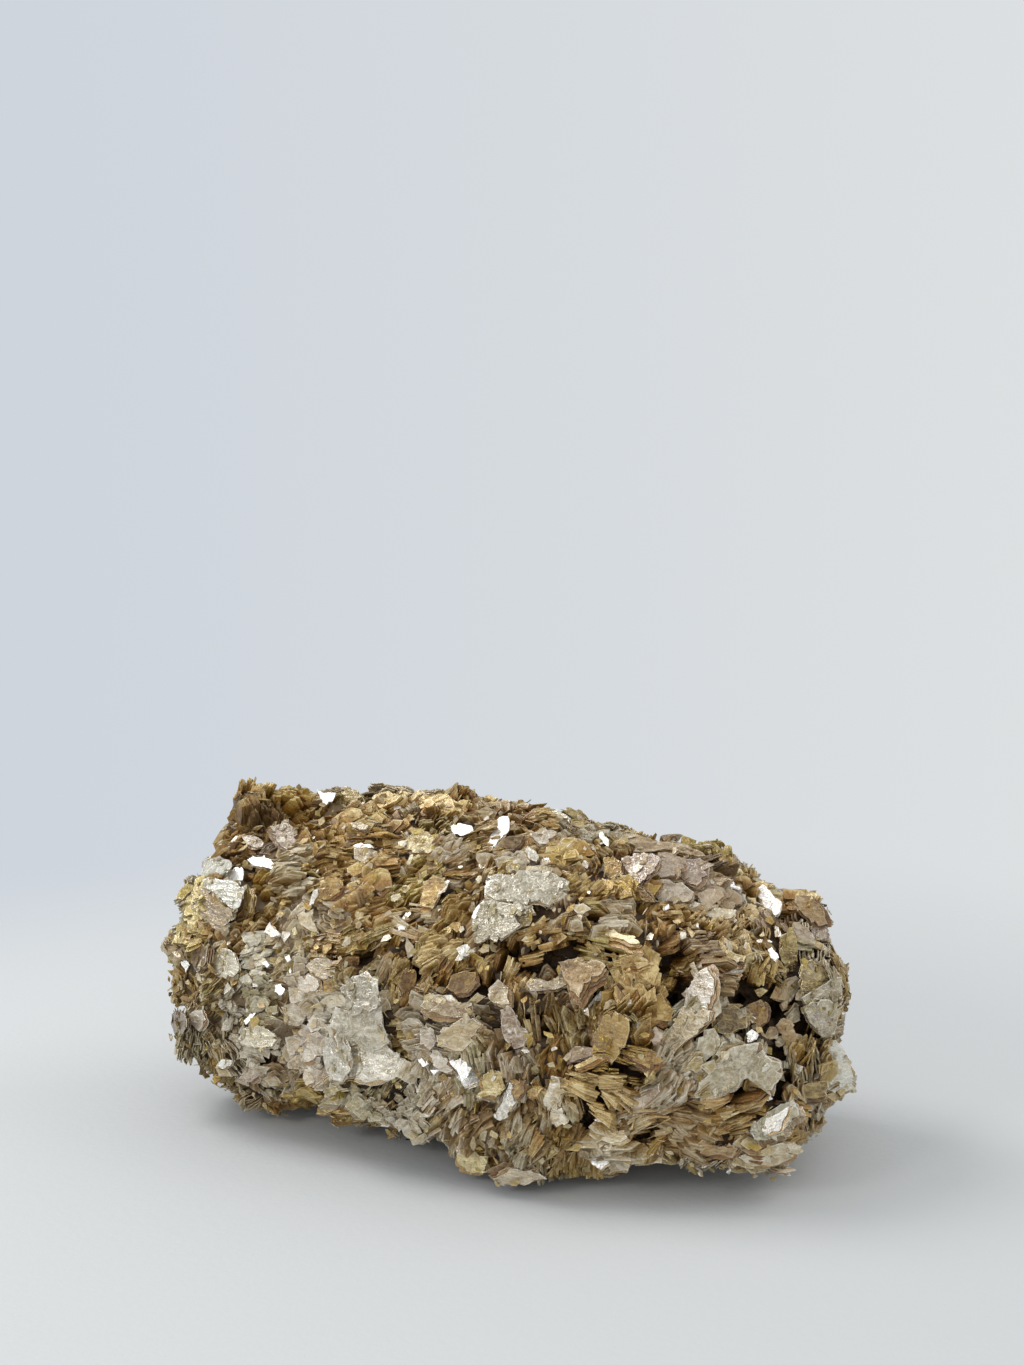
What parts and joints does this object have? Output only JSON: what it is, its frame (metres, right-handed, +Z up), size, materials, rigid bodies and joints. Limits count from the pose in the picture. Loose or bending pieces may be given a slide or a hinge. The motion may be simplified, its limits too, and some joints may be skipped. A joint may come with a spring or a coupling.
{
  "type": "mica crystal",
  "caption": "Hand-sized lump of grown-together golden and silvery muscovite mica books and plates, resting on the flats of its feet.",
  "frame": {"origin": "middle of the lump's bounding box, at the surface that it rests on", "axes": "+X along the length, from the high blunt end to the low end with the thin standing plate; -Y is the front, where the plates face the viewer; +Z up"},
  "size_m": [0.1144, 0.0608, 0.0526],
  "materials": {
    "mica": "pearly to vitreous flakes, golden brown to pale silvery green, with thin see-through edges"
  },
  "bodies": {
    "root": {"mica_crystal": "mica"}
  },
  "joints": []
}
